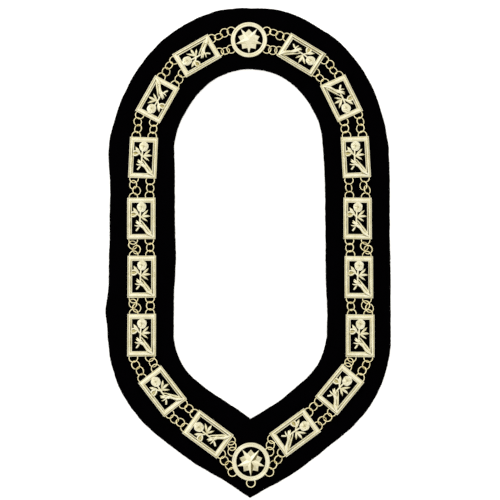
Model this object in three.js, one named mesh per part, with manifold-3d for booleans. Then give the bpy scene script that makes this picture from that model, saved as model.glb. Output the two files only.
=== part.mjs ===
// Chain of office, laid flat: sixteen openwork plaques and two star medallions, joined by a
// double run of jump rings and lying on a closed velvet collar with a rounded neck and a pointed front.
// Millimetres, +Z up. The collar lies on the XY plane; +Y is the back of the neck, -Y the front point.

import * as THREE from 'three';
import { mergeVertices } from 'three/addons/utils/BufferGeometryUtils.js';
import Module from 'manifold-3d';

const wasm = await Module();
wasm.setup();

// ---- Driving dimensions: the velvet collar -------------------------------------------------

const BAND_WIDTH = 60.2;
const BAND_THICKNESS = 3;
const EDGE_ROUND = 0.8;

// The middle line of the band's right half, from the back of the neck to the front point. The side
// is the straight run between the shoulder and the corner. The front runs on until it meets its
// mirror image.
const NECK = { radius: 91.5, turn: degrees(47.6), steps: 9 };
const SHOULDER = { radius: 122.5, turn: degrees(90) - NECK.turn, steps: 8 };
const SIDE_LENGTH = 165;
const CORNER = { radius: 86.5, turn: degrees(50.4), steps: 8 };
const FRONT = { radius: 442, steps: 2 };

// ---- Driving dimensions: the metal ---------------------------------------------------------

const PLAQUE = { width: 26.1, length: 38.8, sideBar: 4.4, endBar: 4.85, base: 1.4 };
const RAISED_BAND = { inset: 1.2, rim: 1.2, height: 0.4 };
const MEDALLION = { radius: 16.9, inside: 13.1, height: 2.1, sides: 28 };
const GROOVE = { halfWidth: 0.9, depth: 0.6 };
const STAR = { rays: 5, longRay: 13.5, shortRay: 10.6, notch: 8.2, slab: 1 };
const STAR_CROWN = { longRay: 13.2, valley: 4.4, height: 2.9 };
const RING = { outside: 8.9, wire: 1.0, sides: 6 };
const JEWEL_RING = { outside: 8.9, wire: 1.2, sides: 12 };

// A lug is a small staple of flat wire soldered under a plate. A ring's wire passes through it.
const LUG = { wire: 0.7, width: 0.9, near: 0.2, far: 4.85 };
const MEDALLION_LUG = { ...LUG, far: 3.8 };
const LUG_ACROSS = 7.45;         // from a plaque's middle line to each of its two lugs at an end
const HUNG_OUT = 1.9;            // from a medallion's rim to the middle of a ring drawn out from it

// ---- Heights above the surface that the collar lies on -------------------------------------

const CLEARANCE = 0.3;
const LUG_FOOT = BAND_THICKNESS + CLEARANCE;
const LUG_BAR_TOP = LUG_FOOT + LUG.wire;
const PLATE_BACK = LUG_BAR_TOP + RING.wire + 2 * CLEARANCE;
const RING_LEVEL = LUG_BAR_TOP + CLEARANCE + RING.wire / 2;
const WELD = 0.2;                // how far soldered pieces run into each other

// ---- How the collar is laid out by hand ----------------------------------------------------

// For each plaque: how far it lies along the band's middle line from the back of the neck, how far
// it lies inside that line, and how many degrees it is turned past the line's own direction.
const LAID = {
  left: [
    [54.7, 3.1, -3.5], [112.2, 1.5, -3], [170, 0.6, -2], [227, -0.4, 0.5],
    [281, 0.6, 0.5], [334.5, 1.1, -1.5], [390.6, 1.7, -1], [447.2, -1.8, -1.5],
  ],
  right: [
    [52.7, 3.2, -1], [110.8, 2, 1], [169.5, 1.6, -2.5], [227, 0.6, 0.5],
    [281.4, 0.1, 0.5], [335, -0.5, -1.5], [388.2, 1, 2.5], [444.2, -2.2, -1],
  ],
};
const MEDALLION_AT = { back: [-1, 194.1], front: [0.8, -196.5] };
const FLIPPED_PLAQUES = 2;       // the first two on each side have their roses toward the front

// Where the four strands leave a medallion, in degrees up or down from its level line
const LEAVE = { back: { outer: 28, inner: -27 }, front: { outer: -29, inner: 28 } };

const TAUT_PITCH = RING.outside - 2 * RING.wire - 0.2;
const END_RING_OUT = { least: 0.6, most: 1.9 };

// The middle rings of a strand: part of the way along it, and how far they lie toward the neck
const STRAIGHT_THREE = [[0.5, 0.4]];
const DRAWN_FOUR = [[0.34, -0.7], [0.66, 0.7]];
const SLACK_FOUR = {
  left: [[0.33, -0.6], [0.64, 2.8]],
  right: [[0.4, 1.7], [0.62, -1.6]],
};
const SLACK_GAPS = [4, 5, 6];    // gaps counted from the back, where the outer strand lies bunched

// ---- Materials -----------------------------------------------------------------------------

const goldPlate = new THREE.MeshStandardMaterial({ color: 0xe8dca4, roughness: 0.28, metalness: 0.9 });
const blackVelvet = new THREE.MeshStandardMaterial({ color: 0x08080d, roughness: 0.95, metalness: 0 });

function degrees(angle) {
  return (angle * Math.PI) / 180;
}

// ---- Solid joining -------------------------------------------------------------------------

function solidFrom(geometry) {
  const bare = geometry.clone();
  bare.deleteAttribute('normal');
  bare.deleteAttribute('uv');
  const merged = mergeVertices(bare, 1e-4);
  return new wasm.Manifold(new wasm.Mesh({
    numProp: 3,
    vertProperties: new Float32Array(merged.attributes.position.array),
    triVerts: new Uint32Array(merged.index.array),
  }));
}

function geometryFrom(solid) {
  const mesh = solid.getMesh();
  const geometry = new THREE.BufferGeometry();
  geometry.setAttribute('position', new THREE.BufferAttribute(mesh.vertProperties, 3));
  geometry.setIndex(new THREE.BufferAttribute(mesh.triVerts, 1));
  geometry.computeVertexNormals();
  return geometry;
}

function joined(geometries) {
  const solids = geometries.map(solidFrom);
  return geometryFrom(solids.reduce((whole, solid) => whole.add(solid)));
}

// ---- Small shape helpers -------------------------------------------------------------------

function outline(points) {
  return new THREE.Shape(points.map(([x, y]) => new THREE.Vector2(x, y)));
}

function slab(shape, bottom, thickness) {
  const geometry = new THREE.ExtrudeGeometry(shape, { depth: thickness, bevelEnabled: false });
  return geometry.translate(0, 0, bottom);
}

function rectangle(halfWidth, halfLength) {
  const signs = [[-1, -1], [1, -1], [1, 1], [-1, 1]];
  return signs.map(([x, y]) => [x * halfWidth, y * halfLength]);
}

function framedSlab(outside, inside, bottom, thickness) {
  const shape = outline(outside);
  shape.holes.push(new THREE.Path(inside.map(([x, y]) => new THREE.Vector2(x, y))));
  return slab(shape, bottom, thickness);
}

// A flat closed ring turned from a square wire
function flatRing({ outside, wire, sides }) {
  const out = outside / 2;
  const half = wire / 2;
  const section = [[out - wire, -half], [out, -half], [out, half], [out - wire, half], [out - wire, -half]];
  const profile = section.map(([r, z]) => new THREE.Vector2(r, z));
  return new THREE.LatheGeometry(profile, sides).rotateX(Math.PI / 2);
}

// ---- The band's middle line ----------------------------------------------------------------

function facing(angle) {
  return new THREE.Vector2(Math.cos(angle), Math.sin(angle));
}

function onArc({ centre, radius }, angle, offset = 0) {
  return facing(angle).multiplyScalar(radius + offset).add(centre);
}

// The arc that goes on from a point; its angles fall as it goes
function arcFrom(point, angle, { radius, turn = 0, steps }) {
  const centre = facing(angle).multiplyScalar(-radius).add(point);
  return { centre, radius, from: angle, to: angle - turn, steps };
}

function arcAfter(arc, next) {
  return arcFrom(onArc(arc, arc.to), arc.to, next);
}

const NECK_ARC = arcFrom(new THREE.Vector2(0, NECK.radius), Math.PI / 2, NECK);
const SHOULDER_ARC = arcAfter(NECK_ARC, SHOULDER);
const SIDE_START = onArc(SHOULDER_ARC, 0);
const SIDE_END = new THREE.Vector2(SIDE_START.x, SIDE_START.y - SIDE_LENGTH);
const CORNER_ARC = arcFrom(SIDE_END, 0, CORNER);
const FRONT_ARC = arcAfter(CORNER_ARC, FRONT);

// The point that lies a given way along the middle line, with the angle of its outward direction
function alongBand(station) {
  let rest = station;
  for (const arc of [NECK_ARC, SHOULDER_ARC, CORNER_ARC]) {
    if (arc === CORNER_ARC) {
      const part = rest / SIDE_LENGTH;
      if (part < 1) return { point: SIDE_START.clone().lerp(SIDE_END, part), angle: 0 };
      rest -= SIDE_LENGTH;
    }
    const length = arc.radius * (arc.from - arc.to);
    if (rest < length) {
      const angle = arc.from - rest / arc.radius;
      return { point: onArc(arc, angle), angle };
    }
    rest -= length;
  }
  const angle = FRONT_ARC.from - rest / FRONT_ARC.radius;
  return { point: onArc(FRONT_ARC, angle), angle };
}

// One edge of the band, anticlockwise: down the left half and back up the right
function bandEdge(offset) {
  const tip = -Math.acos(-FRONT_ARC.centre.x / (FRONT_ARC.radius + offset));
  const rightHalf = [];
  for (const arc of [NECK_ARC, SHOULDER_ARC, CORNER_ARC, { ...FRONT_ARC, to: tip }]) {
    const startsRun = arc === NECK_ARC || arc === CORNER_ARC;
    for (let step = startsRun ? 0 : 1; step <= arc.steps; step += 1) {
      rightHalf.push(onArc(arc, arc.from + ((arc.to - arc.from) * step) / arc.steps, offset));
    }
  }
  const leftHalf = rightHalf.slice(1, -1).map((point) => new THREE.Vector2(-point.x, point.y));
  return [...leftHalf, ...rightHalf.reverse()];
}

const OUTER_EDGE = bandEdge(BAND_WIDTH / 2);
const INNER_EDGE = bandEdge(-BAND_WIDTH / 2);
const HIGHEST = Math.max(...OUTER_EDGE.map((point) => point.y));
const LOWEST = Math.min(...OUTER_EDGE.map((point) => point.y));
const MIDDLE_Y = (HIGHEST + LOWEST) / 2;

// ---- The velvet ----------------------------------------------------------------------------

function velvetGeometry() {
  const shape = new THREE.Shape(OUTER_EDGE);
  shape.holes.push(new THREE.Path(INNER_EDGE));
  return new THREE.ExtrudeGeometry(shape, {
    depth: BAND_THICKNESS - 2 * EDGE_ROUND,
    bevelThickness: EDGE_ROUND,
    bevelSize: EDGE_ROUND,
    bevelOffset: -EDGE_ROUND,
    bevelSegments: 1,
  }).translate(0, -MIDDLE_Y, EDGE_ROUND);
}

// ---- Lugs ----------------------------------------------------------------------------------

// A staple under a plate whose edge is at the origin, reaching in along -Y
function lugGeometry({ wire, width, near, far }) {
  const top = PLATE_BACK + WELD;
  const bar = LUG_FOOT + wire;
  const staple = outline([
    [near, LUG_FOOT], [far, LUG_FOOT], [far, top], [far - wire, top],
    [far - wire, bar], [near + wire, bar], [near + wire, top], [near, top],
  ]);
  const geometry = new THREE.ExtrudeGeometry(staple, { depth: width, bevelEnabled: false });
  return geometry.translate(0, 0, -width / 2).rotateX(Math.PI / 2).rotateZ(-Math.PI / 2);
}

// ---- Plaques -------------------------------------------------------------------------------

const WINDOW = {
  halfWidth: PLAQUE.width / 2 - PLAQUE.sideBar,
  halfLength: PLAQUE.length / 2 - PLAQUE.endBar,
};

function frameGeometries() {
  const halfWidth = PLAQUE.width / 2;
  const halfLength = PLAQUE.length / 2;
  const { inset, rim, height } = RAISED_BAND;
  const flange = framedSlab(
    rectangle(halfWidth, halfLength),
    rectangle(WINDOW.halfWidth, WINDOW.halfLength),
    PLATE_BACK,
    PLAQUE.base,
  );
  const band = framedSlab(
    rectangle(halfWidth - inset, halfLength - inset),
    rectangle(WINDOW.halfWidth + rim, WINDOW.halfLength + rim),
    PLATE_BACK + PLAQUE.base - WELD,
    height + WELD,
  );
  return [flange, band];
}

// The spray in the window: a rose, a bud and four leaves on one stem, held by a hand that comes
// in from the corner beside a long blade. X is across the plaque and Y along it, with the rose at
// +Y. A leaf is given by the place where it leaves the stem and its angle in degrees.
const ROSE = { at: [0.3, 10.4], radius: 4.6, sides: 8 };
const BUD = { at: [-6.8, 3.6], radius: 2.7, sides: 6 };
const LEAF = { length: 7.2, width: 2.1, tail: 1 };
const LEAF_SPREAD = [[-3.2, 3.4, 122], [0.9, 2, 47], [1, 1.6, 2], [0.2, 1.1, -36]];
const BLADE = [[-1, -1.6], [6.8, -13.4], [8.9, -12.4], [0.6, -1.6]];
const STEM_AND_ARM = [
  [-1.4, 7], [-2, -4.2], [-4.2, -2.1], [-5.9, -6.4], [-2.8, -8], [-5.2, -11.4], [-4, -12.2],
  [-0.8, -9.4], [2.4, -10.9], [5.6, -15], [9.2, -15.2], [9, -13.6], [-0.3, -4.6], [0.2, 7],
];
const BUD_STALK = [[-4.8, 3.6], [-1.4, 0.4], [-0.6, 1.9], [-4, 5]];

function flower({ at: [x, y], radius, sides }) {
  return Array.from({ length: sides }, (_, corner) => {
    const angle = ((corner + 0.5) * 2 * Math.PI) / sides;
    return [x + radius * Math.cos(angle), y + radius * Math.sin(angle)];
  });
}

function leaf([x, y, angle]) {
  const { length, width, tail } = LEAF;
  const turn = degrees(angle);
  const [cos, sin] = [Math.cos(turn), Math.sin(turn)];
  const blade = [[-tail, 0], [length / 2, -width / 2], [length, 0], [length / 2, width / 2]];
  return blade.map(([u, v]) => [x + u * cos - v * sin, y + u * sin + v * cos]);
}

function sprayGeometries() {
  const outlines = [flower(ROSE), flower(BUD), ...LEAF_SPREAD.map(leaf), STEM_AND_ARM, BUD_STALK, BLADE];
  return outlines.map((points) => slab(outline(points), PLATE_BACK, PLAQUE.base));
}

function plaqueLugs() {
  const lugs = [];
  for (const end of [1, -1]) {
    for (const side of [1, -1]) {
      const lug = lugGeometry(LUG).translate(0, PLAQUE.length / 2, 0);
      if (end < 0) lug.rotateZ(Math.PI);
      lugs.push(lug.translate(side * LUG_ACROSS, 0, 0));
    }
  }
  return lugs;
}

const plaqueGeometry = joined([...frameGeometries(), ...sprayGeometries(), ...plaqueLugs()]);

// ---- Medallions ----------------------------------------------------------------------------

// Corners at even turns round a star, starting from its front ray and taking the radii in order
function starCorners(radii) {
  const count = STAR.rays * radii.length;
  return Array.from({ length: count }, (_, index) => {
    const angle = (index * 2 * Math.PI) / count - Math.PI / 2;
    const radius = radii[index % radii.length];
    return [radius * Math.cos(angle), radius * Math.sin(angle)];
  });
}

// Five long rays with a short point between each two: a cut-out slab under a ridged crown of the
// long rays alone, which is a low cone whose rim is drawn out to their outline
function starGeometries() {
  const outside = starCorners([STAR.longRay, STAR.notch, STAR.shortRay, STAR.notch]);
  const rays = starCorners([STAR_CROWN.longRay, STAR_CROWN.valley]);
  const rise = STAR_CROWN.height - STAR.slab + WELD;
  const crown = new THREE.ConeGeometry(1, rise, rays.length).rotateX(Math.PI / 2);
  const position = crown.attributes.position;
  for (let vertex = 0; vertex < position.count; vertex += 1) {
    const x = position.getX(vertex);
    const y = position.getY(vertex);
    const onRim = Math.hypot(x, y) > 0.5;
    if (onRim) {
      const turn = Math.round(((Math.atan2(y, x) + Math.PI / 2) * rays.length) / (2 * Math.PI));
      position.setXY(vertex, ...rays[(turn + rays.length) % rays.length]);
    }
  }
  crown.translate(0, 0, PLATE_BACK + STAR.slab - WELD + rise / 2);
  return [slab(outline(outside), PLATE_BACK, STAR.slab), crown];
}

function medallionRing() {
  const { radius, inside, height, sides } = MEDALLION;
  const middle = (radius + inside) / 2;
  const { halfWidth, depth } = GROOVE;
  const section = [
    [inside, 0], [radius, 0], [middle + halfWidth, height],
    [middle, height - depth], [middle - halfWidth, height], [inside, 0],
  ];
  const profile = section.map(([r, z]) => new THREE.Vector2(r, z));
  return new THREE.LatheGeometry(profile, sides).rotateX(Math.PI / 2).translate(0, 0, PLATE_BACK);
}

function medallionLug(angle) {
  return lugGeometry(MEDALLION_LUG)
    .translate(0, MEDALLION.radius, 0)
    .rotateZ(degrees(angle) - Math.PI / 2);
}

function medallionGeometry({ outer, inner }, withJewelLug) {
  const angles = [outer, inner, 180 - outer, 180 - inner];
  if (withJewelLug) angles.push(-90);
  return joined([medallionRing(), ...starGeometries(), ...angles.map(medallionLug)]);
}

// ---- Placing the plates --------------------------------------------------------------------

// A plate's place: its middle, the way out from the neck and the way on toward the front point
function laidPlaque(side, [station, inset, turn]) {
  const { point, angle } = alongBand(station);
  const heading = angle - degrees(turn);
  const outward = facing(heading);
  const onward = new THREE.Vector2(outward.y, -outward.x);
  const middle = point.addScaledVector(facing(angle), -inset);
  middle.y -= MIDDLE_Y;
  if (side === 'left') [middle, outward, onward].forEach((vector) => vector.setX(-vector.x));
  return { middle, outward, onward, rotation: side === 'left' ? -heading : heading };
}

const PLATES = {
  left: LAID.left.map((row) => laidPlaque('left', row)),
  right: LAID.right.map((row) => laidPlaque('right', row)),
};

// A strand's end: the point on a plate's edge over the lug, and the way the strand leaves it
function plaqueEnd({ middle, outward, onward }, strand, end) {
  const across = strand === 'outer' ? LUG_ACROSS : -LUG_ACROSS;
  const away = onward.clone().multiplyScalar(end);
  const edge = middle.clone().addScaledVector(outward, across).addScaledVector(away, PLAQUE.length / 2);
  return { edge, away };
}

function medallionEnd(place, side, strand) {
  const away = facing(degrees(LEAVE[place][strand]));
  if (side === 'left') away.setX(-away.x);
  const edge = new THREE.Vector2(...MEDALLION_AT[place]).addScaledVector(away, MEDALLION.radius);
  return { edge, away };
}

// ---- Strands of rings ----------------------------------------------------------------------

// Where the middles of a strand's rings lie, from one plate to the next
function ringMiddles(start, finish, neckward, slack) {
  const pitches = slack.length + 1;
  const reach = start.edge.distanceTo(finish.edge);
  const out = (reach - pitches * TAUT_PITCH) / 2;
  const drawn = THREE.MathUtils.clamp(out, END_RING_OUT.least, END_RING_OUT.most);
  const first = start.edge.clone().addScaledVector(start.away, start.drawn ?? drawn);
  const last = finish.edge.clone().addScaledVector(finish.away, finish.drawn ?? drawn);
  const between = slack.map(
    ([part, aside]) => first.clone().lerp(last, part).addScaledVector(neckward, aside),
  );
  return [first, ...between, last];
}

function strandGeometry(middles) {
  return joined(middles.map((middle, index) => {
    const toward = middles[index + 1] ?? middles[index - 1];
    const direction = Math.atan2(toward.y - middle.y, toward.x - middle.x);
    return flatRing(RING).rotateZ(direction).translate(middle.x, middle.y, RING_LEVEL);
  }));
}

function strandEnds(side, gap, strand) {
  const plates = PLATES[side];
  const count = plates.length;
  const start = gap === 1 ? medallionEnd('back', side, strand) : plaqueEnd(plates[gap - 2], strand, 1);
  const finish = gap > count ? medallionEnd('front', side, strand) : plaqueEnd(plates[gap - 1], strand, -1);
  if (gap === 1) start.drawn = HUNG_OUT;
  if (gap > count) finish.drawn = HUNG_OUT;
  return { start, finish };
}

function strandSlack(side, gap, strand) {
  if (strand === 'inner') return STRAIGHT_THREE;
  return SLACK_GAPS.includes(gap) ? SLACK_FOUR[side] : DRAWN_FOUR;
}

// ---- The whole collar ----------------------------------------------------------------------

const collar = new THREE.Group();

function addPiece(name, geometry, material) {
  const piece = new THREE.Mesh(geometry, material);
  piece.name = name;
  collar.add(piece);
  return piece;
}

addPiece('velvet_backing', velvetGeometry(), blackVelvet);

for (const place of ['back', 'front']) {
  const geometry = medallionGeometry(LEAVE[place], place === 'front');
  const medallion = addPiece(`medallion_${place}`, geometry, goldPlate);
  medallion.position.set(...MEDALLION_AT[place], 0);
}

const [frontX, frontY] = MEDALLION_AT.front;
const jewelRing = addPiece('jewel_ring', flatRing(JEWEL_RING), goldPlate);
jewelRing.position.set(frontX, frontY - MEDALLION.radius - HUNG_OUT, RING_LEVEL);

for (const side of ['left', 'right']) {
  PLATES[side].forEach(({ middle, rotation }, index) => {
    const plaque = addPiece(`plaque_${side}_${index + 1}`, plaqueGeometry, goldPlate);
    plaque.position.set(middle.x, middle.y, 0);
    plaque.rotation.z = rotation + (index < FLIPPED_PLAQUES ? Math.PI : 0);
  });

  for (let gap = 1; gap <= PLATES[side].length + 1; gap += 1) {
    for (const strand of ['outer', 'inner']) {
      const { start, finish } = strandEnds(side, gap, strand);
      const way = finish.edge.clone().sub(start.edge).normalize();
      const neckward = side === 'left' ? new THREE.Vector2(-way.y, way.x) : new THREE.Vector2(way.y, -way.x);
      const middles = ringMiddles(start, finish, neckward, strandSlack(side, gap, strand));
      addPiece(`rings_${side}_${strand}_${gap}`, strandGeometry(middles), goldPlate);
    }
  }
}

export default collar;
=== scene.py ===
"""Chain of office, laid flat: gilt plaques and star medallions on jump rings, over a black velvet band.

Shapes are worked out in millimetres, in each piece's own place, and are turned into metres when the
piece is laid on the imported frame.
"""

import math

import bmesh
import bpy
import numpy as np
from mathutils import Matrix, Vector, noise


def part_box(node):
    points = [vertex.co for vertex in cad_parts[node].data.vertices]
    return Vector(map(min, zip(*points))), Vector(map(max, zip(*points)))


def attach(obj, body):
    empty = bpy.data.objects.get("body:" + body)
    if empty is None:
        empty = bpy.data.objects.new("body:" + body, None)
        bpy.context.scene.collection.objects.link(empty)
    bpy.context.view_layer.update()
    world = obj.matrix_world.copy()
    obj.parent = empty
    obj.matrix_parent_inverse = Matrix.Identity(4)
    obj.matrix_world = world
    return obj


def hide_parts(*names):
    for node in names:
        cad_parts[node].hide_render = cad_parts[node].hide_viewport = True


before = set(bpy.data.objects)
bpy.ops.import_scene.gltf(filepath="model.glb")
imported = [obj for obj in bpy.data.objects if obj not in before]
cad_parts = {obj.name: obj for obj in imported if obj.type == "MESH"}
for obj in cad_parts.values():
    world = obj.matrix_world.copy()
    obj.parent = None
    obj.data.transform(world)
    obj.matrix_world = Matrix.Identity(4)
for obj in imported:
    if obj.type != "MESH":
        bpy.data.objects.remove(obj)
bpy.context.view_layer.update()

MM = 0.001
BODY = "root"
SIDES = {"left": -1, "right": 1}

# ---- Sizes in millimetres ------------------------------------------------------------------

BAND_WIDTH = 60.2
VELVET_EDGE = 1.2           # how far in from its edge the velvet is rounded

# The middle line of the velvet's right half: the radius and the turn in degrees of each arc. The straight
# side lies between the shoulder and the corner, and the front runs on to its mirror image.
NECK = (91.5, 47.6)
SHOULDER = (122.5, 42.4)
SIDE_LENGTH = 165.0
CORNER = (86.5, 50.4)
FRONT_RADIUS = 442.0

# How the hand-cut edges wander: (station along the middle line, shift outward, spread of the wander)
WANDER = {
    "left": {"outer": [(0, -0.9, 9), (25, 0.7, 10), (163, 2.2, 20), (312, 2.3, 14), (468, -1.2, 13),
                       (490, 1.0, 9)],
             "inner": [(145, 1.4, 28), (262, -1.3, 22), (468, -1.7, 24)]},
    "right": {"outer": [(0, -0.9, 9), (25, 0.5, 8), (52, -1.1, 9), (138, -1.2, 24), (240, -0.7, 30),
                        (325, -1.1, 40), (458, 1.7, 22), (490, 1.0, 9)],
              "inner": [(160, -1.4, 24), (315, 1.0, 22), (450, 0.9, 22)]},
}

PLAQUE_WIDTH, PLAQUE_LENGTH = 26.1, 38.8
SIDE_BAR, END_BAR = 4.4, 4.85
OUTER_BEAD, INNER_BEAD = 0.8, 0.9
BEAD_BASE, BEAD_RISE = 0.75, 0.25
BEAD_SEAM = 0.05            # between each bead and the bevel beside it
FOOT_BEVEL = 0.12
BEVEL, BEVEL_FOOT, FLAT_LEVEL = 0.85, 0.98, 1.7
RIB_PITCH, RIB_LENGTH, RIB_WIDTH, RIB_HEIGHT = 0.52, 1.3, 0.34, 0.07
RIB_SLANT = 52              # degrees
RIB_MARGIN = 0.8            # bare metal at each end of a run of ribs
PETAL_THICKNESS = 0.4
ROSE_PLACE = (0.3, 10.4)
ROSE_REACH = 4.6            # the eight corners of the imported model's rose lie this far from its middle
LUG_ACROSS = 7.45
LUG_WIRE = 0.7
LUG_NEAR, LUG_FAR = 0.2, 4.85
MEDALLION_LUG_FAR = 3.8

MEDALLION_RADIUS, MEDALLION_INSIDE = 16.9, 13.1
MEDALLION_WALL, MEDALLION_BASE, MEDALLION_RISE = 1.2, 1.6, 0.35
GROOVE_HALF, GROOVE_LEVEL = 0.25, 1.68
MEDALLION_BEVEL = 0.15
LONG_RAY, VALLEY = 13.4, 4.5
SHORT_RAY, NOTCH = 10.6, 8.2
SLAB_TIP, SLAB_NOTCH, SLAB_PEAK = 1.0, 0.85, 1.2
CROWN_TIP, CROWN_VALLEY = 1.3, 1.2
CROWN_PEAK = {"back": 1.75, "front": 2.9}

RING_OUTSIDE, RING_WIRE = 8.9, 1.05
RING_RADIUS = (RING_OUTSIDE - RING_WIRE) / 2
JEWEL_RING_WIRE = 1.25
RING_LEAN = 1.16            # rise of a leaning ring at its crossings, in wire thicknesses

VELVET_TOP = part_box("velvet_backing")[1].z / MM
LUG_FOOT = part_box("plaque_left_1")[0].z / MM
PLATE_BACK = VELVET_TOP + 2.6

# How the strands of rings are laid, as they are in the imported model
LEAVE = {"back": {"outer": 28, "inner": -27}, "front": {"outer": -29, "inner": 28}}
TAUT_PITCH = 6.7
END_RING_OUT = (0.6, 1.9)
THREE_RINGS = [(0.5, 0.4)]
FOUR_RINGS = [(0.34, -0.7), (0.66, 0.7)]
SLACK_RINGS = {"left": [(0.33, -0.6), (0.64, 2.8)], "right": [(0.4, 1.7), (0.62, -1.6)]}
SLACK_GAPS = (4, 5, 6)
PLAQUES_A_SIDE = 8

# Surroundings, in metres
FLOOR_HALF = 6.0
CAMERA_PLACE, CAMERA_TARGET = (0, -0.171, 1.188), (0, -0.004, 0)
CAMERA_SENSOR, CAMERA_LENS = 36.0, 93.7


# ---- Mesh helpers --------------------------------------------------------------------------

def lattice(rows, columns, wrap_rows=False, wrap_columns=True):
    """Faces of a grid of points that is stored row by row."""
    faces = []
    for row in range(rows if wrap_rows else rows - 1):
        below = (row + 1) % rows
        for column in range(columns if wrap_columns else columns - 1):
            beside = (column + 1) % columns
            faces.append((row * columns + column, row * columns + beside,
                          below * columns + beside, below * columns + column))
    return faces


def smooth_run(rows, steps):
    """A smooth run through rows of numbers, with a few steps to each stretch."""
    rows = np.asarray(rows, float)
    ends = np.vstack([2 * rows[0] - rows[1], rows, 2 * rows[-1] - rows[-2]])
    out = []
    for a, b, c, d in zip(ends, ends[1:], ends[2:], ends[3:]):
        for t in np.arange(steps) / steps:
            cubic = 3 * (b - c) + d - a
            out.append(b + t * ((c - a) + t * ((2 * a - 5 * b + 4 * c - d) + t * cubic)) / 2)
    return np.array(out + [rows[-1]])


class Form:
    """Closed bodies gathered into one shape, with how much painted shade each point takes where it lies in a
    hollow.
    """

    def __init__(self):
        self.points, self.faces, self.painted_shade = [], [], []
        self.count = 0

    def add(self, points, faces, painted_shade=0.0):
        points = np.asarray(points, float).reshape(-1, 3)
        self.points.append(points)
        self.painted_shade.append(np.broadcast_to(np.asarray(painted_shade, float).ravel(), (len(points),))
                           if np.ndim(painted_shade) else np.full(len(points), painted_shade))
        self.faces += [tuple(self.count + corner for corner in face) for face in faces]
        self.count += len(points)
        return self

    def swept(self, sections, painted_shade=0.0):
        """A run of closed sections, capped at both ends."""
        rows, columns = sections.shape[:2]
        faces = lattice(rows, columns)
        faces += [tuple(range(columns)), tuple((rows - 1) * columns + c for c in range(columns))]
        return self.add(sections, faces, painted_shade)

    def limb(self, rows, section, steps=4, painted_shade=0.0):
        """A tapering stem through rows of (x, y, z, half width, half height)."""
        line = smooth_run(rows, steps)
        middle, width, height = line[:, :3], line[:, 3], line[:, 4]
        ahead = np.gradient(middle, axis=0)
        ahead /= np.linalg.norm(ahead, axis=1)[:, None]
        side = np.cross(ahead, (0, 0, 1))
        side /= np.linalg.norm(side, axis=1)[:, None]
        up = np.cross(side, ahead)
        across, high = np.array(section).T
        sections = (middle[:, None] + side[:, None] * (width[:, None] * across)[..., None]
                    + up[:, None] * (height[:, None] * high)[..., None])
        return self.swept(sections, painted_shade)

    def thick_sheet(self, top, thickness, painted_shade):
        """A curved sheet given by its upper side, closed all round."""
        rows, columns = top.shape[:2]
        under = top - (0, 0, thickness)
        ring = np.concatenate([top[:, :, None], under[:, :, None]], axis=2)
        upper = lattice(rows, columns, wrap_columns=False)
        number = lambda r, c, level: (r * columns + c) * 2 + level
        faces = [tuple(corner * 2 for corner in face) for face in upper]
        faces += [tuple(corner * 2 + 1 for corner in reversed(face)) for face in upper]
        edge = ([(0, c) for c in range(columns)] + [(r, columns - 1) for r in range(1, rows)]
                + [(rows - 1, c) for c in range(columns - 2, -1, -1)]
                + [(r, 0) for r in range(rows - 2, 0, -1)])
        for here, there in zip(edge, edge[1:] + edge[:1]):
            faces.append((number(*here, 0), number(*there, 0), number(*there, 1), number(*here, 1)))
        return self.add(ring.reshape(-1, 3), faces, np.repeat(painted_shade, 2))

    def turned(self, profile, steps, painted_shade=None):
        """A closed profile of (radius, height) turned about the upright axis."""
        angles = np.arange(steps) * 2 * math.pi / steps
        radius, height = np.array(profile, float).T
        points = np.stack([np.cos(angles)[:, None] * radius, np.sin(angles)[:, None] * radius,
                           np.broadcast_to(height, (steps, len(radius)))], axis=2)
        shade_weight = 0.0 if painted_shade is None else np.tile(painted_shade, steps)
        return self.add(points, lattice(steps, len(radius), wrap_rows=True), shade_weight)

    def laid(self, middle, angle, lift):
        """The same form turned about the upright axis and moved to its place."""
        turned = Form()
        cos, sin = math.cos(angle), math.sin(angle)
        spin = np.array([[cos, sin, 0], [-sin, cos, 0], [0, 0, 1]])
        points = np.vstack(self.points) @ spin + (*middle, lift)
        return turned.add(points, self.faces, np.concatenate(self.painted_shade))


def ellipse(sides):
    angles = np.arange(sides) * 2 * math.pi / sides
    return np.column_stack([np.cos(angles), np.sin(angles)])


ROUND = ellipse(10)
LEAF_SECTION = [(-1, 0.1), (-0.72, 0.6), (-0.4, 0.8), (-0.12, 0.7), (0, 0.5), (0.12, 0.7), (0.4, 0.8),
                (0.72, 0.6), (1, 0.1), (0.6, -0.6), (-0.6, -0.6)]


def bead(start, finish, base, rise, points=7):
    """A rounded moulding from one inset to another, as points of (inset, height)."""
    angles = np.linspace(math.pi, 0, points)
    middle, half = (start + finish) / 2, (finish - start) / 2
    return [(middle + half * math.cos(a), base + rise * math.sin(a)) for a in angles]


def build_piece(name, form, materials, smooth_angle=38):
    """A mesh object in metres at the origin, with its faces outwards and its sharp edges kept."""
    mesh = bpy.data.meshes.new(name)
    mesh.from_pydata((np.vstack(form.points) * MM).tolist(), [], form.faces)
    painted_shade = mesh.attributes.new("painted_shade", "FLOAT", "POINT")
    painted_shade.data.foreach_set("value", np.concatenate(form.painted_shade).astype(np.float32))
    work = bmesh.new()
    work.from_mesh(mesh)
    bmesh.ops.recalc_face_normals(work, faces=work.faces)
    work.to_mesh(mesh)
    work.free()
    mesh.shade_smooth()
    mesh.set_sharp_from_angle(angle=math.radians(smooth_angle))
    for material in materials:
        mesh.materials.append(material)
    piece = bpy.data.objects.new(name, mesh)
    bpy.context.scene.collection.objects.link(piece)
    return piece


def settle(piece, slot, *nodes):
    """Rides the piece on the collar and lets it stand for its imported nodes."""
    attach(piece, BODY)
    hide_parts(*nodes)
    return piece


# ---- Shader helpers ------------------------------------------------------------------------

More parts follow.
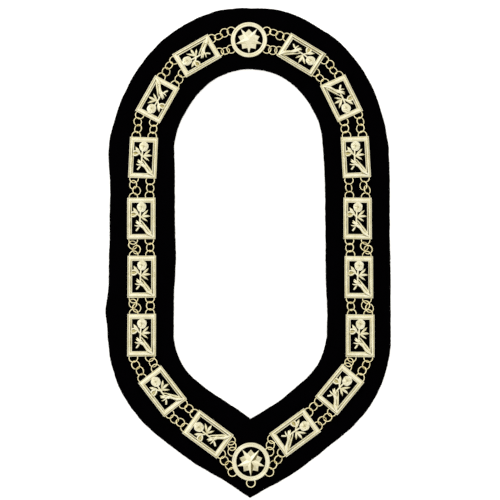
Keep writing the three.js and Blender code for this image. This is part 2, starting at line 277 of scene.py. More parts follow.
class Socket:
    """An output in a shader tree. Arithmetic on it adds Math nodes."""

    def __init__(self, nodes, output):
        self.nodes, self.output = nodes, output

    def math(self, operation, *values):
        return self.nodes.node("ShaderNodeMath", {"operation": operation}, dict(enumerate(values)))

    def __add__(self, other):
        return self.math("ADD", self, other)

    def __sub__(self, other):
        return self.math("SUBTRACT", self, other)

    def __rsub__(self, other):
        return self.math("SUBTRACT", other, self)

    def __mul__(self, other):
        return self.math("MULTIPLY", self, other)

    __radd__ = __add__
    __rmul__ = __mul__


class Nodes:
    """A shader tree that is filled one node at a time."""

    def __init__(self, tree):
        self.tree = tree
        tree.nodes.clear()

    def node(self, kind, settings=None, sockets=None, output=0):
        node = self.tree.nodes.new(kind)
        for name, value in (settings or {}).items():
            setattr(node, name, value)
        for name, value in (sockets or {}).items():
            if isinstance(value, Socket):
                self.tree.links.new(value.output, node.inputs[name])
            else:
                node.inputs[name].default_value = value
        return Socket(self, node.outputs[output]) if node.outputs else None

    def mix(self, share, first, second):
        return self.node("ShaderNodeMix", {"data_type": "RGBA"}, {0: share, 6: first, 7: second}, output=2)


class Finish(Nodes):
    """A material and the nodes that make it."""

    def __init__(self, name):
        self.material = bpy.data.materials.new(name)
        self.material.use_nodes = True
        super().__init__(self.material.node_tree)

    def place(self):
        return self.node("ShaderNodeTexCoord", output=3)

    def noise(self, scale, detail=2.0, roughness=0.5):
        sockets = {"Vector": self.place(), "Scale": scale, "Detail": detail, "Roughness": roughness}
        return self.node("ShaderNodeTexNoise", sockets=sockets)

    def spread(self, value, low, high):
        """Stretches a value so that low becomes 0 and high becomes 1."""
        sockets = {"Value": value, "From Min": low, "From Max": high}
        return self.node("ShaderNodeMapRange", {"clamp": True}, sockets)

    def bump(self, height, strength, distance):
        sockets = {"Height": height, "Strength": strength, "Distance": distance}
        return self.node("ShaderNodeBump", sockets=sockets)

    def done(self, **sockets):
        named = {name.replace("_", " "): value for name, value in sockets.items()}
        surface = self.node("ShaderNodeBsdfPrincipled", sockets=named)
        self.node("ShaderNodeOutputMaterial", sockets={"Surface": surface})
        return self.material


def gilt(name, bright, deep, polish):
    """Pale gold plate: polished on the high parts and a little rougher in its hollows, with painted shade
    there that darkens and warms the colour, over a faint random mottle.
    """
    finish = Finish(name)
    painted_shade = finish.node("ShaderNodeAttribute", {"attribute_name": "painted_shade"}, output=2)
    cloud = finish.noise(160, 3)
    grain = finish.noise(1900, 2)
    # Painted shade: where a mesh marks a hollow, the colour turns darker and warmer; the cloud adds a faint
    # random mottle.
    share = finish.spread(cloud, 0.35, 0.7) * 0.3 + painted_shade * 0.7
    colour = finish.mix(share, (*bright, 1), (*deep, 1))
    roughness = finish.spread(cloud, 0.3, 0.75) * 0.08 + grain * 0.04 + painted_shade * 0.04 + polish
    normal = finish.bump(grain + cloud * 0.5, 0.12, 0.00012)
    return finish.done(Base_Color=colour, Metallic=1.0, Roughness=roughness, Normal=normal)


def velvet():
    """Black velvet: a deep short pile that greys a little where it has been stroked."""
    finish = Finish("black_velvet_pile")
    stroke = finish.noise(38, 3, 0.6)
    tuft = finish.noise(900, 2, 0.6)
    pile = finish.noise(3200, 2, 0.7)
    share = finish.spread(stroke, 0.4, 0.75) * 0.6 + finish.spread(tuft, 0.45, 0.8) * 0.4
    colour = finish.mix(share, (0.0002, 0.0001, 0.0003, 1), (0.0007, 0.0005, 0.0012, 1))
    normal = finish.bump(pile + tuft * 1.5 + stroke * 2.0, 0.8, 0.0006)
    roughness = finish.spread(stroke, 0.3, 0.8) * 0.1 + 0.88
    return finish.done(Base_Color=colour, Roughness=roughness, Normal=normal, Specular_IOR_Level=0.01,
                       Sheen_Weight=0.004, Sheen_Roughness=0.35, Sheen_Tint=(0.55, 0.6, 0.9, 1))


def floor_finish():
    finish = Finish("pale_floor")
    mottle = finish.noise(9, 2)
    colour = finish.mix(mottle, (0.93, 0.93, 0.93, 1), (0.95, 0.95, 0.95, 1))
    return finish.done(Base_Color=colour, Roughness=0.75, Specular_IOR_Level=0.2,
                       Emission_Color=(1, 1, 1, 1), Emission_Strength=0.4)


# ---- Geometry Nodes helpers ----------------------------------------------------------------

class Rule:
    """A Geometry Nodes tree with named inputs."""

    def __init__(self, name, inputs):
        self.tree = bpy.data.node_groups.new(name, "GeometryNodeTree")
        face = self.tree.interface
        face.new_socket("Geometry", in_out="INPUT", socket_type="NodeSocketGeometry")
        for label, kind in inputs.items():
            face.new_socket(label, in_out="INPUT", socket_type="NodeSocket" + kind)
        face.new_socket("Geometry", in_out="OUTPUT", socket_type="NodeSocketGeometry")
        self.given = self.tree.nodes.new("NodeGroupInput").outputs
        self.result = self.tree.nodes.new("NodeGroupOutput").inputs

    def node(self, kind, settings=None, sockets=None):
        node = self.tree.nodes.new(kind)
        for name, value in (settings or {}).items():
            setattr(node, name, value)
        for name, value in (sockets or {}).items():
            if isinstance(value, bpy.types.NodeSocket):
                self.tree.links.new(value, node.inputs[name])
            else:
                node.inputs[name].default_value = value
        return node.outputs[0]

    def finish(self, instances):
        """Ends the tree with real geometry in its own material."""
        real = self.node("GeometryNodeRealizeInstances", sockets={"Geometry": instances})
        sockets = {"Geometry": real, "Material": self.given["Material"]}
        painted = self.node("GeometryNodeSetMaterial", sockets=sockets)
        self.tree.links.new(painted, self.result["Geometry"])

    def grown(self, seed, values):
        """The mesh that the tree makes from a seed mesh, as a plain mesh."""
        holder = bpy.data.objects.new("seed", seed)
        bpy.context.scene.collection.objects.link(holder)
        modifier = holder.modifiers.new("rule", "NODES")
        modifier.node_group = self.tree
        for item in self.tree.interface.items_tree:
            if item.in_out == "INPUT" and item.name in values:
                modifier[item.identifier] = values[item.name]
        graph = bpy.context.evaluated_depsgraph_get()
        mesh = bpy.data.meshes.new_from_object(holder.evaluated_get(graph))
        holder.modifiers.clear()
        bpy.data.objects.remove(holder)
        return mesh


def ring_rule():
    """Turns of round wire set on points, each leaning as the point says."""
    rule = Rule("jump_rings", {"Ring Radius": "Float", "Wire Radius": "Float", "Material": "Material"})
    around = rule.node("GeometryNodeCurvePrimitiveCircle", {"mode": "RADIUS"},
                       {"Resolution": 40, "Radius": rule.given["Ring Radius"]})
    wire = rule.node("GeometryNodeCurvePrimitiveCircle", {"mode": "RADIUS"},
                     {"Resolution": 12, "Radius": rule.given["Wire Radius"]})
    ring = rule.node("GeometryNodeCurveToMesh", sockets={"Curve": around, "Profile Curve": wire})
    smooth = rule.node("GeometryNodeSetShadeSmooth", sockets={"Geometry": ring, "Shade Smooth": True})
    lean = rule.node("GeometryNodeInputNamedAttribute", {"data_type": "FLOAT_VECTOR"}, {"Name": "lean"})
    turn = rule.node("FunctionNodeEulerToRotation", sockets={"Euler": lean})
    rule.finish(rule.node("GeometryNodeInstanceOnPoints", sockets={
        "Points": rule.given["Geometry"], "Instance": smooth, "Rotation": turn}))
    return rule


def milling_rule():
    """Short slanting ribs set side by side along the seed's edges."""
    rule = Rule("milled_ribs", {"Pitch": "Float", "Rib Length": "Float", "Rib Width": "Float",
                                "Rib Height": "Float", "Slant": "Float", "Material": "Material"})
    line = rule.node("GeometryNodeMeshToCurve", sockets={"Mesh": rule.given["Geometry"]})
    spaced = rule.node("GeometryNodeCurveToPoints", {"mode": "LENGTH"},
                       {"Curve": line, "Length": rule.given["Pitch"]})
    size = rule.node("ShaderNodeCombineXYZ", sockets={
        0: rule.given["Rib Length"], 1: rule.given["Rib Width"], 2: rule.given["Rib Height"]})
    rib = rule.node("GeometryNodeMeshUVSphere", sockets={"Segments": 8, "Rings": 4, "Radius": 0.5})
    shaped = rule.node("GeometryNodeTransform", sockets={"Geometry": rib, "Scale": size})
    way = rule.node("GeometryNodeInputNamedAttribute", {"data_type": "FLOAT"}, {"Name": "way"})
    angle = rule.node("ShaderNodeMath", {"operation": "ADD"}, {0: way, 1: rule.given["Slant"]})
    euler = rule.node("ShaderNodeCombineXYZ", sockets={2: angle})
    turn = rule.node("FunctionNodeEulerToRotation", sockets={"Euler": euler})
    rule.finish(rule.node("GeometryNodeInstanceOnPoints", sockets={
        "Points": spaced, "Instance": shaped, "Rotation": turn}))
    return rule


# ---- The velvet band -----------------------------------------------------------------------

def direction(angle):
    return np.stack([np.cos(angle), np.sin(angle)], axis=-1)


def half_line(offset):
    """The right half of a line that far outside the middle line, from the back to the front point."""
    point, angle, pieces = np.array([0.0, NECK[0]]), math.pi / 2, []
    for radius, turn in (NECK, SHOULDER, CORNER, (FRONT_RADIUS, None)):
        if radius == CORNER[0]:
            way = np.linspace(0, SIDE_LENGTH, 140, endpoint=False)
            pieces.append(point + np.column_stack([np.full(len(way), offset), -way]))
            point = point - (0, SIDE_LENGTH)
        middle = point - radius * direction(angle)
        end = angle - math.radians(turn) if turn else -math.acos(-middle[0] / (radius + offset))
        angles = np.linspace(angle, end, 80, endpoint=turn is None)
        pieces.append(middle + (radius + offset) * direction(angles))
        point, angle = middle + radius * direction(end), end
    return np.vstack(pieces)


def band_line(offset):
    """The whole closed line, round by the right side and back by the left."""
    right = half_line(offset)
    return np.vstack([right, right[1:-1][::-1] * (-1, 1)])


def wander(side, edge, stations):
    return sum(shift * np.exp(-((stations - place) / spread) ** 2)
               for place, shift, spread in WANDER[side][edge])


def edge_wander(edge):
    """How far an edge lies outside its true line, at each point of the closed line."""
    line = half_line(0)
    stations = np.append(0, np.cumsum(np.linalg.norm(np.diff(line, axis=0), axis=1)))
    blend = np.clip(stations / 20, 0, 1)
    right, left = (wander(side, edge, stations) for side in ("right", "left"))
    shared = (right + left) / 2
    right, left = (shared + (shift - shared) * blend for shift in (right, left))
    return np.append(right, left[1:-1][::-1])


def velvet_section():
    """The band's section as (offset, height): a soft crown over rounded edges and a flat underside."""
    half, top, edge = BAND_WIDTH / 2, VELVET_TOP, VELVET_EDGE
    turn = np.linspace(-math.pi / 2, math.pi / 2, 9)
    outer = [(half - edge + edge * math.cos(a), top / 2 + top / 2 * math.sin(a)) for a in turn]
    over = [(x, top) for x in np.linspace(half - edge, edge - half, 34)[1:-1]]
    under = [(x, 0.0) for x in np.linspace(edge - half, half - edge, 8)[1:-1]]
    inner = [(-x, z) for x, z in reversed(outer)]
    return outer + over + inner + under


def ruffled(points):
    """Moves the pile a little: slow waves on the face, a fine uneven nap at the edges."""
    moved = points.copy()
    for number, (x, y, z) in enumerate(points):
        if z < 0.05:
            continue
        slow = noise.noise(Vector((x, y, 3)) * 0.035)
        fine = noise.noise(Vector((x, y, 7)) * 0.55)
        moved[number, 2] += min(0.0, 0.16 * slow + 0.1 * fine - 0.12) * z / VELVET_TOP
    return moved


def velvet_band():
    section = velvet_section()
    edge = band_line(BAND_WIDTH / 2)[:, 1]
    lift = -(edge.max() + edge.min()) / 2
    lines = [np.column_stack([band_line(offset), np.full(len(edge), height)]) for offset, height in section]
    points = np.stack(lines, axis=1) + (0, lift, 0)
    rows, columns = points.shape[:2]
    across = points[:, 0, :2] - points[:, len(section) // 2, :2]
    outward = across / np.linalg.norm(across, axis=1)[:, None]
    share = np.array([offset for offset, _ in section]) / BAND_WIDTH + 0.5
    shift = edge_wander("outer")[:, None] * share + edge_wander("inner")[:, None] * (1 - share)
    for column, (offset, _) in enumerate(section):
        if abs(offset) > BAND_WIDTH / 2 - VELVET_EDGE - 0.1:
            for row in range(rows):
                x, y, _ = points[row, column]
                sway = noise.noise(Vector((x * 0.6, y * 0.6, 11))) * 0.3
                sway += noise.noise(Vector((x * 0.09, y * 0.09, 5))) * 0.4
                shift[row, column] += sway
    points[:, :, :2] += outward[:, None] * shift[..., None]
    form = Form().add(ruffled(points.reshape(-1, 3)), lattice(rows, columns, wrap_rows=True))
    return build_piece("velvet_band", form, [velvet()], 60)


# ---- Plaques -------------------------------------------------------------------------------

def moulding():
    """The frame's section as (inset, height, painted shade): a narrow bead on each side of a bevelled flat.
    """
    beads = [(0.0, OUTER_BEAD), (SIDE_BAR - INNER_BEAD, SIDE_BAR)]
    outer, inner = ([(*point, 0.0) for point in bead(*span, BEAD_BASE, BEAD_RISE, 5)] for span in beads)
    start, finish = OUTER_BEAD + BEAD_SEAM, SIDE_BAR - INNER_BEAD - BEAD_SEAM
    # The foot of each bevel gets a little painted shade, a dark line beside the raised flat.
    flat = [(start, BEVEL_FOOT, 0.25), (start + BEVEL, FLAT_LEVEL, 0.0),
            (finish - BEVEL, FLAT_LEVEL, 0.0), (finish, BEVEL_FOOT, 0.25)]
    foot = [(FOOT_BEVEL, 0.0, 0.0), (0.0, FOOT_BEVEL, 0.0)]
    return foot + outer + flat + inner + [(SIDE_BAR - inset, *rest) for inset, *rest in reversed(foot)]


def add_frame(form):
    """The moulding run round the plaque with mitred corners."""
    corners = np.array([(-1, -1), (1, -1), (1, 1), (-1, 1)])
    section = moulding()
    points = [[(right * (PLAQUE_WIDTH / 2 - inset), up * (PLAQUE_LENGTH / 2 - inset * END_BAR / SIDE_BAR), z)
               for inset, z, _ in section] for right, up in corners]
    painted_shade = np.tile([shade_weight for *_, shade_weight in section], len(corners))
    form.add(points, lattice(len(corners), len(section), wrap_rows=True), painted_shade)


def petal(middle, angle, inner, outer, spread, base, rise, lean):
    """The upper side of one rose petal: it widens outward, cups upward and rolls over at its lip."""
    across, out = np.meshgrid(np.linspace(-1, 1, 9), np.linspace(0, 1, 7))
    turn = angle + spread * across * (0.5 + 0.5 * np.sin(out * math.pi / 2))
    radius = inner + (outer - inner) * out * (1 - 0.14 * across ** 2)
    height = base + rise * np.sin(out * math.pi * 0.72) + lean * across * out
    return np.stack([middle[0] + 0.94 * radius * np.cos(turn), middle[1] + 1.03 * radius * np.sin(turn),
                     height], axis=2)


def add_rose(form):
    """An open rose seen from above, its petals overlapping round a tight whorl."""
    dome = [(0.02, 0.0), (3.9, 0.0), (4.0, 0.5), (3.6, 1.2), (2.0, 1.6), (0.02, 1.7)]
    base = Form().turned(dome, 24)
    form.add(np.vstack(base.points) + (*ROSE_PLACE, 0), base.faces)
    rings = [(5, 0.3, 1.6, 4.55, 0.78, 0.7, 0.8, 0.5), (5, 0.93, 1.1, 3.6, 0.8, 1.2, 0.85, 0.5),
             (4, 0.5, 0.6, 2.6, 0.95, 1.7, 0.75, 0.45), (3, 1.2, 0.25, 1.6, 1.15, 2.1, 0.55, 0.35)]
    for count, start, inner, outer, spread, height, rise, lean in rings:
        for number in range(count):
            angle = start + number * 2 * math.pi / count
            top = petal(ROSE_PLACE, angle, inner, outer, spread, height, rise, lean)
            # Painted shade, strongest at each petal's inner end where it tucks under the petals above.
            shade_weight = np.linspace(1.0, 0.0, top.shape[0]).repeat(top.shape[1])
            form.thick_sheet(top, PETAL_THICKNESS, shade_weight)
    turns = np.linspace(0, 3.2 * math.pi, 22)
    x, y = ROSE_PLACE
    heart = [(x + (0.15 + 0.07 * a) * math.cos(a), y + (0.15 + 0.07 * a) * math.sin(a),
              2.95 - 0.03 * a, 0.16, 0.3) for a in turns]
    form.limb(heart, ellipse(6), 1)


# Rows of (x, y, z, half width, half height), with the rose at +y
STEM = [(0.0, 7.5, 1.0, 0.85, 0.7), (-0.8, 5.6, 1.1, 0.9, 0.75), (-1.0, 2.4, 1.2, 0.9, 0.8),
        (-1.15, -1.0, 1.2, 0.9, 0.8), (-1.3, -4.6, 1.2, 0.9, 0.8), (-1.9, -7.4, 1.1, 0.9, 0.75),
        (-3.2, -9.8, 1.1, 1, 0.8), (-4.8, -11.7, 1.1, 0.8, 0.6)]
BUD_STALK = [(-1.2, 1.2, 1.1, 0.7, 0.6), (-2.6, 2.9, 1.2, 0.8, 0.7), (-4.2, 4.2, 1.3, 1.05, 0.8)]
BUD_HEART = [(-4.4, 4.0, 0.6, 0.9, 0.4), (-6.3, 3.7, 0.6, 1.7, 0.5), (-8.2, 3.5, 0.6, 1.5, 0.5),
             (-9.4, 3.4, 0.6, 0.55, 0.3)]
BUD_LIPS = [
    [(-4.0, 4.2, 1.3, 0.7, 0.6), (-5.9, 5.5, 1.8, 0.9, 0.8),
     (-7.8, 5.7, 1.8, 0.85, 0.7), (-9.3, 4.8, 1.6, 0.55, 0.5)],
    [(-4.0, 3.8, 1.3, 0.7, 0.6), (-5.7, 2.1, 1.7, 0.9, 0.8),
     (-7.7, 1.5, 1.7, 0.85, 0.7), (-9.4, 2.2, 1.5, 0.55, 0.5)],
]
LEAVES = [
    [(-2.6, 2.6, 1.3, 0.55, 0.5), (-4.0, 4.9, 1.7, 1.15, 0.8),
     (-5.7, 7.4, 1.9, 1.3, 0.85), (-7.3, 9.9, 1.4, 0.2, 0.3)],
    [(-0.2, 0.8, 1.1, 0.45, 0.5), (1.9, 3.0, 1.5, 0.9, 0.7),
     (4.0, 5.3, 1.8, 1.1, 0.8), (6.2, 7.6, 1.4, 0.15, 0.25)],
    [(0.2, 1.4, 1.1, 0.45, 0.5), (2.9, 1.7, 1.6, 1.05, 0.7),
     (5.6, 1.9, 1.8, 1.15, 0.8), (8.3, 1.8, 1.4, 0.2, 0.25)],
    [(-0.2, 1.2, 1.1, 0.45, 0.5), (1.9, -0.2, 1.5, 0.9, 0.7),
     (3.8, -1.6, 1.7, 0.9, 0.7), (5.8, -3.0, 1.3, 0.15, 0.25)],
    [(-0.7, -1.5, 1.0, 0.45, 0.5), (1.3, -3.9, 1.4, 0.7, 0.6), (3.6, -7.0, 1.7, 0.8, 0.7),
     (6.0, -10.2, 1.8, 0.85, 0.7), (8.9, -14.2, 1.7, 0.75, 0.6)],
]
FOREARM = [(-1.9, -7.1, 1.3, 1.1, 0.8), (0.0, -7.2, 1.6, 1.6, 1.1), (1.8, -8.4, 1.7, 1.5, 1.15),
           (3.3, -10.5, 1.7, 1.25, 1.1), (4.9, -12.7, 1.8, 1.3, 1.1), (6.5, -14.5, 2.0, 1.45, 1.1),
           (8.8, -16.0, 2.2, 1.2, 0.8), (10.0, -17.0, 2.1, 0.7, 0.4)]
CUFF = [(4.4, -13.4, 1.6, 0.45, 0.5), (5.6, -12.7, 2.75, 0.4, 0.5), (6.9, -11.8, 2.2, 0.35, 0.45)]
FINGERS = [
    [(0.0, -5.6, 1.9, 0.8, 0.6), (-1.8, -4.8, 2.3, 0.85, 0.65),
     (-3.2, -3.5, 2.0, 0.8, 0.6), (-4.3, -2.2, 1.5, 0.45, 0.4)],
    [(-0.5, -6.4, 2.0, 0.8, 0.6), (-2.4, -5.6, 2.4, 0.8, 0.65),
     (-3.9, -4.6, 2.0, 0.7, 0.6), (-4.9, -3.6, 1.5, 0.4, 0.4)],
    [(-0.8, -7.4, 1.9, 0.8, 0.6), (-2.7, -7.4, 2.3, 0.8, 0.65),
     (-4.3, -7.2, 2.0, 0.7, 0.6), (-5.9, -6.6, 1.4, 0.4, 0.4)],
    [(0.9, -6.2, 2.1, 0.8, 0.6), (-0.2, -5.4, 2.7, 0.7, 0.6),
     (-1.0, -4.3, 2.5, 0.65, 0.5), (-1.3, -3.3, 2.1, 0.3, 0.3)],
]


def add_spray(form):
    """The rose, its bud and leaves on one stem, and the hand that holds it."""
    add_rose(form)
    for rows in [STEM, BUD_STALK, FOREARM, CUFF] + BUD_LIPS + FINGERS:
        form.limb(rows, ROUND)
    # The bud's cupped hollow is given full painted shade.
    form.limb(BUD_HEART, ROUND, painted_shade=1.0)
    for rows in LEAVES:
        form.limb(rows, LEAF_SECTION)


def add_lug(form, foot, reach, turn):
    """A bent wire loop under a plate. Its foot is a point on the plate's edge."""
    low = LUG_FOOT - PLATE_BACK + LUG_WIRE / 2
    near, far, round_off = LUG_NEAR + LUG_WIRE / 2, reach - LUG_WIRE / 2, 0.35
    path = [(near, 0.2), (near, low + round_off), (near + 0.1, low + 0.1), (near + round_off, low),
            (far - round_off, low), (far - 0.1, low + 0.1), (far, low + round_off), (far, 0.2)]
    inward = -np.array([math.cos(turn), math.sin(turn)])
    side = np.array([-inward[1], inward[0], 0])
    line = np.array([(*(np.array(foot) + inward * along), z) for along, z in path])
    ahead = np.gradient(line, axis=0)
    ahead /= np.linalg.norm(ahead, axis=1)[:, None]
    up = np.cross(side, ahead)
    ring = ellipse(8) * LUG_WIRE / 2
    sections = line[:, None] + side * ring[:, :1] * 1.2 + up[:, None] * ring[:, 1:]
    form.swept(sections)


def milled_ribs(rule, material):
    """Fine slanting ribs along the raised part of the frame."""
    inset = (SIDE_BAR + OUTER_BEAD - INNER_BEAD) / 2
    x, y = PLAQUE_WIDTH / 2 - inset, PLAQUE_LENGTH / 2 - inset * END_BAR / SIDE_BAR
    margin, level = RIB_MARGIN, FLAT_LEVEL + 0.02
    shape = {"Pitch": RIB_PITCH, "Rib Length": RIB_LENGTH, "Rib Width": RIB_WIDTH, "Rib Height": RIB_HEIGHT,
             "Slant": math.radians(RIB_SLANT), "Material": material}
    ribs = Form()
    runs = [((x, margin - y), (x, y - margin)), ((-x, y - margin), (-x, margin - y)),
            ((x - margin, y), (margin - x, y)), ((margin - x, -y), (x - margin, -y))]
    for start, finish in runs:
        seed = bpy.data.meshes.new("rib_line")
        seed.from_pydata([(*start, level), (*finish, level)], [(0, 1)], [])
        way = seed.attributes.new("way", "FLOAT", "POINT")
        way.data.foreach_set("value", [math.atan2(finish[1] - start[1], finish[0] - start[0])] * 2)
        grown = rule.grown(seed, shape)
        ribs.add([vertex.co for vertex in grown.vertices], [tuple(f.vertices) for f in grown.polygons])
    return ribs


def plaque_form(ribs):
    form = Form()
    add_frame(form)
    form.add(np.vstack(ribs.points), ribs.faces)
    add_spray(form)
    for end in (1, -1):
        for side in (1, -1):
            foot = (side * LUG_ACROSS, end * PLAQUE_LENGTH / 2)
            add_lug(form, foot, LUG_FAR, end * math.pi / 2)
    return form


def node_points(node):
    return np.array([vertex.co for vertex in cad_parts[node].data.vertices]) / MM


def node_middle(node):
    low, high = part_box(node)
    return np.array([low.x + high.x, low.y + high.y]) / 2 / MM


def plaque_lay(node):
    """A plaque's middle and the direction of its rose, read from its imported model."""
    middle = node_middle(node)
    flat = node_points(node)[:, :2] - middle
    distance = np.linalg.norm(flat, axis=1)
    corners = flat[distance > distance.max() - 0.05]
    spans = corners - corners[0]
    long_side = spans[np.abs(np.linalg.norm(spans, axis=1) - PLAQUE_LENGTH).argmin()]
    way = long_side / np.linalg.norm(long_side)

    def rose_corners(up):
        rose = ROSE_PLACE[0] * np.array([up[1], -up[0]]) + ROSE_PLACE[1] * up
        return (np.abs(np.linalg.norm(flat - rose, axis=1) - ROSE_REACH) < 0.05).sum()

    return middle, max(way, -way, key=rose_corners)


def plaques(gold):
    form = plaque_form(milled_ribs(milling_rule(), gold))
    for side in SIDES:
        for number in range(1, PLAQUES_A_SIDE + 1):
            node = f"plaque_{side}_{number}"
            middle, up = plaque_lay(node)
            angle = math.atan2(-up[0], up[1])
            piece = build_piece(f"gilt_{node}", form.laid(middle, angle, PLATE_BACK), [gold])
            settle(piece, "gold_plate", node)


# ---- Medallions ----------------------------------------------------------------------------

def add_pyramid(form, rim, peak, foot):
    """A faceted cap: a closed rim of (x, y, height) with upright sides, drawn up to a peak."""
    rim = np.array(rim)
    count = len(rim)
    wall, edge = rim - (0, 0, 0.12), rim * (0.975, 0.975, 1)
    faces = lattice(3, count)
    for number in range(count):
        beside = (number + 1) % count
        faces.append((2 * count + number, 2 * count + beside, 3 * count))
        faces.append((number, beside, 3 * count + 1))
    bottom = rim * (1, 1, 0) + (0, 0, foot)
    form.add(np.vstack([bottom, wall, edge, [(0, 0, peak), (0, 0, foot)]]), faces)


def star_corners(radii_and_heights):
    """Corners at even turns from the front, taking each row of (radius, height) in order."""
    count = 5 * len(radii_and_heights)
    for number in range(count):
        angle = 2 * math.pi * number / count - math.pi / 2
        radius, height = radii_and_heights[number % len(radii_and_heights)]
        yield radius * math.cos(angle), radius * math.sin(angle), height


def add_star(form, place):
    """A ridged star of five long rays over a lower one whose five short points show between them."""
    short = [(NOTCH - 0.3, SLAB_NOTCH), (NOTCH, SLAB_NOTCH), (SHORT_RAY, SLAB_TIP), (NOTCH, SLAB_NOTCH)]
    add_pyramid(form, list(star_corners(short)), SLAB_PEAK, 0.0)
    crown = [(LONG_RAY, CROWN_TIP), (VALLEY, CROWN_VALLEY)]
    add_pyramid(form, list(star_corners(crown)), CROWN_PEAK[place], 0.05)


def medallion_form(place):
    groove, foot = (MEDALLION_RADIUS + MEDALLION_INSIDE) / 2, MEDALLION_BEVEL
    hollow = (groove, GROOVE_LEVEL)
    face = (MEDALLION_BASE, MEDALLION_RISE, 17)
    section = [(MEDALLION_RADIUS - foot, 0.0), (MEDALLION_RADIUS, foot), (MEDALLION_RADIUS, MEDALLION_WALL)]
    section += bead(MEDALLION_RADIUS, groove + GROOVE_HALF, *face)
    section += [hollow] + bead(groove - GROOVE_HALF, MEDALLION_INSIDE, *face)
    section += [(MEDALLION_INSIDE, MEDALLION_WALL), (MEDALLION_INSIDE, foot), (MEDALLION_INSIDE + foot, 0.0)]
    # Painted shade in the groove between the two beads of the ring.
    painted_shade = [0.5 if point == hollow else 0.0 for point in section]
    form = Form().turned(section, 112, painted_shade)
    add_star(form, place)
    angles = [LEAVE[place][strand] for strand in ("outer", "inner")]
    angles += [180 - angle for angle in angles]
    if place == "front":
        angles.append(-90)
    for angle in angles:
        turn = math.radians(angle)
        foot = MEDALLION_RADIUS * np.array([math.cos(turn), math.sin(turn)])
        add_lug(form, foot, MEDALLION_LUG_FAR, turn)
    return form


def medallions(gold):
    for place in LEAVE:
        node = f"medallion_{place}"
        form = medallion_form(place).laid(node_middle(node), 0, PLATE_BACK)
        settle(build_piece(f"gilt_{node}", form, [gold], 14), "gold_plate", node)


# ---- Strands of jump rings -----------------------------------------------------------------

def plate_end(lay, side, strand, end):
    """Where a strand leaves a plaque's edge, and which way."""
    middle, up = lay
    across = np.array([up[1], -up[0]])
    spine = np.array([0, np.clip(middle[1], -SIDE_LENGTH / 2, NECK[0])])
    outward = across * np.sign(across @ (middle - spine))
    onward = np.array([outward[1], -outward[0]]) * SIDES[side]
    shift = outward * LUG_ACROSS * (1 if strand == "outer" else -1)
    return middle + shift + onward * end * PLAQUE_LENGTH / 2, onward * end


def medallion_end(place, side, strand):
    angle = math.radians(LEAVE[place][strand])
    away = np.array([SIDES[side] * math.cos(angle), math.sin(angle)])
    return node_middle(f"medallion_{place}") + away * MEDALLION_RADIUS, away


def ring_middles(side, gap, strand):
    """The places of a strand's rings, from one plate to the next."""
    last_gap = gap > PLAQUES_A_SIDE
    lay = lambda number: plaque_lay(f"plaque_{side}_{number}")
    start, leave = (medallion_end("back", side, strand) if gap == 1
                    else plate_end(lay(gap - 1), side, strand, 1))
    finish, meet = (medallion_end("front", side, strand) if last_gap
                    else plate_end(lay(gap), side, strand, -1))
    inner = strand == "inner"
    slack = THREE_RINGS if inner else SLACK_RINGS[side] if gap in SLACK_GAPS else FOUR_RINGS
    span = finish - start
    drawn = np.clip((np.linalg.norm(span) - (len(slack) + 1) * TAUT_PITCH) / 2, *END_RING_OUT)
    first = start + leave * (END_RING_OUT[1] if gap == 1 else drawn)
    last = finish + meet * (END_RING_OUT[1] if last_gap else drawn)
    neckward = np.array([span[1], -span[0]]) / np.linalg.norm(span) * SIDES[side]
    between = [first + (last - first) * part + neckward * aside for part, aside in slack]
    return np.array([first, *between, last])


def ring_leans(middles, hand):
    """Each ring's height and slope. The end rings lie nearly level through their lugs, and those between
    lean one way and the other about the strand. The lean suits a straight, evenly drawn strand: where a
    strand bends or lies bunched, neighbouring wires still run into each other."""
    count = len(middles)
    pitches = np.linalg.norm(np.diff(middles, axis=0), axis=1)
    chord = np.sqrt(RING_RADIUS ** 2 - (pitches / 2) ** 2)
    lean = RING_LEAN * RING_WIRE / chord.min()
    rise = RING_RADIUS * math.sin(math.atan(lean))
    level = VELVET_TOP + 0.08 + RING_WIRE / 2 + rise
    hung = LUG_FOOT + LUG_WIRE + RING_WIRE / 2 + 0.03
    heights, slopes = [], []
    for number in range(count):
        before, after = max(number - 1, 0), min(number + 1, count - 1)
        way = middles[after] - middles[before]
        way /= np.linalg.norm(way)
        if number in (0, count - 1):
            pitch = pitches[0] if number == 0 else pitches[-1]
            climb = (level - hung) / (RING_RADIUS + pitch / 2)
            heights.append(hung + climb * RING_RADIUS)
            slopes.append(way * climb * (1 if number == 0 else -1))
        else:
            heights.append(level)
            slopes.append(np.array([-way[1], way[0]]) * lean * hand * (-1) ** number)
    return heights, slopes


def ring_seed(name, middles, heights, slopes):
    seed = bpy.data.meshes.new(name)
    seed.from_pydata([(x * MM, y * MM, z * MM) for (x, y), z in zip(middles, heights)], [], [])
    lean = seed.attributes.new("lean", "FLOAT_VECTOR", "POINT")
    for item, (along, across) in zip(lean.data, slopes):
        turn = Vector((0, 0, 1)).rotation_difference(Vector((-along, -across, 1)))
        item.vector = turn.to_euler()
    return seed


def ring_piece(name, rule, middles, heights, slopes, wire, gold, node):
    radius = (RING_OUTSIDE - wire) / 2
    mesh = rule.grown(ring_seed(name, middles, heights, slopes), {
        "Ring Radius": radius * MM, "Wire Radius": wire / 2 * MM, "Material": gold})
    piece = bpy.data.objects.new(name, mesh)
    bpy.context.scene.collection.objects.link(piece)
    return settle(piece, "gold_plate", node)


def strands(rule, gold):
    for side in SIDES:
        for strand in ("outer", "inner"):
            for gap in range(1, PLAQUES_A_SIDE + 2):
                middles = ring_middles(side, gap, strand)
                hand = 1 if (gap + len(middles)) % 2 else -1
                heights, slopes = ring_leans(middles, hand)
                node = f"rings_{side}_{strand}_{gap}"
                ring_piece(f"jump_{node}", rule, middles, heights, slopes, RING_WIRE, gold, node)


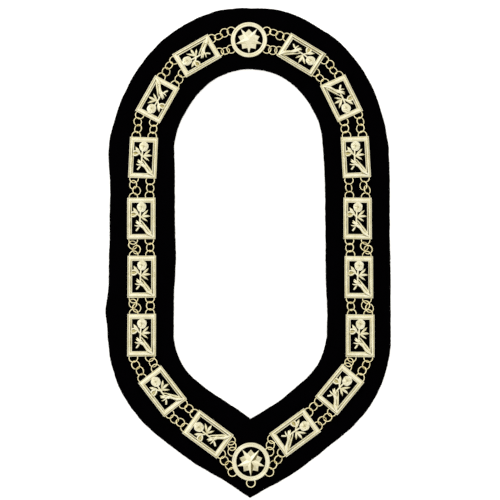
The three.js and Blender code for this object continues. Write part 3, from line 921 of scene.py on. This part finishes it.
def jewel_ring(rule, gold):
    """The ring at the point, hung on its lug with its far side down on the velvet."""
    hung = LUG_FOOT + LUG_WIRE + JEWEL_RING_WIRE / 2 + 0.05
    resting = VELVET_TOP + JEWEL_RING_WIRE / 2 + 0.1
    across = RING_OUTSIDE - JEWEL_RING_WIRE
    slope = (hung - resting) / across
    place = node_middle("jewel_ring")
    ring_piece("jewel_jump_ring", rule, [place], [(hung + resting) / 2], [(0, slope)], JEWEL_RING_WIRE,
               gold, "jewel_ring")


# ---- Surroundings --------------------------------------------------------------------------

def floor():
    mesh = bpy.data.meshes.new("floor")
    half = FLOOR_HALF
    corners = [(-half, -half, 0), (half, -half, 0), (half, half, 0), (-half, half, 0)]
    mesh.from_pydata(corners, [], [(0, 1, 2, 3)])
    mesh.materials.append(floor_finish())
    ground = bpy.data.objects.new("floor", mesh)
    bpy.context.scene.collection.objects.link(ground)
    return ground


def aim(thing, place, target):
    place, target = Vector(place), Vector(target)
    turn = (target - place).to_track_quat("-Z", "Y").to_matrix().to_4x4()
    thing.matrix_world = Matrix.Translation(place) @ turn


def softbox(name, place, width, height, power):
    light = bpy.data.lights.new(name, "AREA")
    light.shape, light.size, light.size_y, light.energy = "RECTANGLE", width, height, power
    lamp = bpy.data.objects.new(name, light)
    bpy.context.scene.collection.objects.link(lamp)
    aim(lamp, place, (0, 0, 0))


def studio():
    """A white tent that is dark low down in front of the collar, with a dark stand in it to the right
    and a dimmer patch nearly straight above. It grows warmer toward its foot and where it is dark."""
    world = bpy.data.worlds.new("studio")
    world.use_nodes = True
    tent = Nodes(world.node_tree)
    way = tent.node("ShaderNodeTexCoord")

    def toward(place, start, finish):
        along = tent.node("ShaderNodeVectorMath", {"operation": "DOT_PRODUCT"}, {0: way, 1: place}, output=1)
        sockets = {"Value": along, "From Min": start, "From Max": finish}
        return tent.node("ShaderNodeMapRange", {"interpolation_type": "SMOOTHSTEP"}, sockets)

    front = toward((-0.1, -0.995, 0.0), 0.3, 0.8) * (1 - toward((0, 0, 1), 0.4, 0.62))
    stand = toward((0.765, -0.268, 0.586), 0.95, 0.985)
    overhead = toward((0.0, 0.2, 0.98), 0.88, 0.98)
    dim = toward((-0.03, -0.04, 0.999), 0.993, 0.999)
    share = (1 - front * 0.9) * (1 - stand * 0.85) * (1 - overhead * 0.15) * (1 - dim * 0.5)
    rise = 0.62 + toward((0, 0, 1), 0.2, 0.9) * 0.38
    tint = tent.mix(share * rise, (0.97, 0.82, 0.28, 1), (1, 1, 1, 1))
    light = tent.node("ShaderNodeBackground", sockets={"Color": tint, "Strength": share * 1.24})
    tent.node("ShaderNodeOutputWorld", sockets={"Surface": light})
    bpy.context.scene.world = world
    softbox("box_left", (-0.9, 1.1, 1.3), 1.6, 1.6, 3)
    bpy.context.scene.view_settings.view_transform = "Standard"


def camera():
    lens = bpy.data.cameras.new("camera")
    lens.sensor_width, lens.lens = CAMERA_SENSOR, CAMERA_LENS
    eye = bpy.data.objects.new("camera", lens)
    bpy.context.scene.collection.objects.link(eye)
    aim(eye, CAMERA_PLACE, CAMERA_TARGET)
    bpy.context.scene.camera = eye


# ---- The whole collar ----------------------------------------------------------------------

def main():
    camera()
    studio()
    ground = floor()
    plate_gold = gilt("pale_gold_plate", (0.82, 0.79, 0.62), (0.5, 0.43, 0.16), 0.12)
    ring_gold = gilt("ring_gold", (0.92, 0.85, 0.56), (0.56, 0.41, 0.14), 0.08)
    band = velvet_band()
    settle(band, "black_velvet", "velvet_backing")
    plaques(plate_gold)
    medallions(plate_gold)
    rings = ring_rule()
    strands(rings, ring_gold)
    jewel_ring(rings, ring_gold)


main()
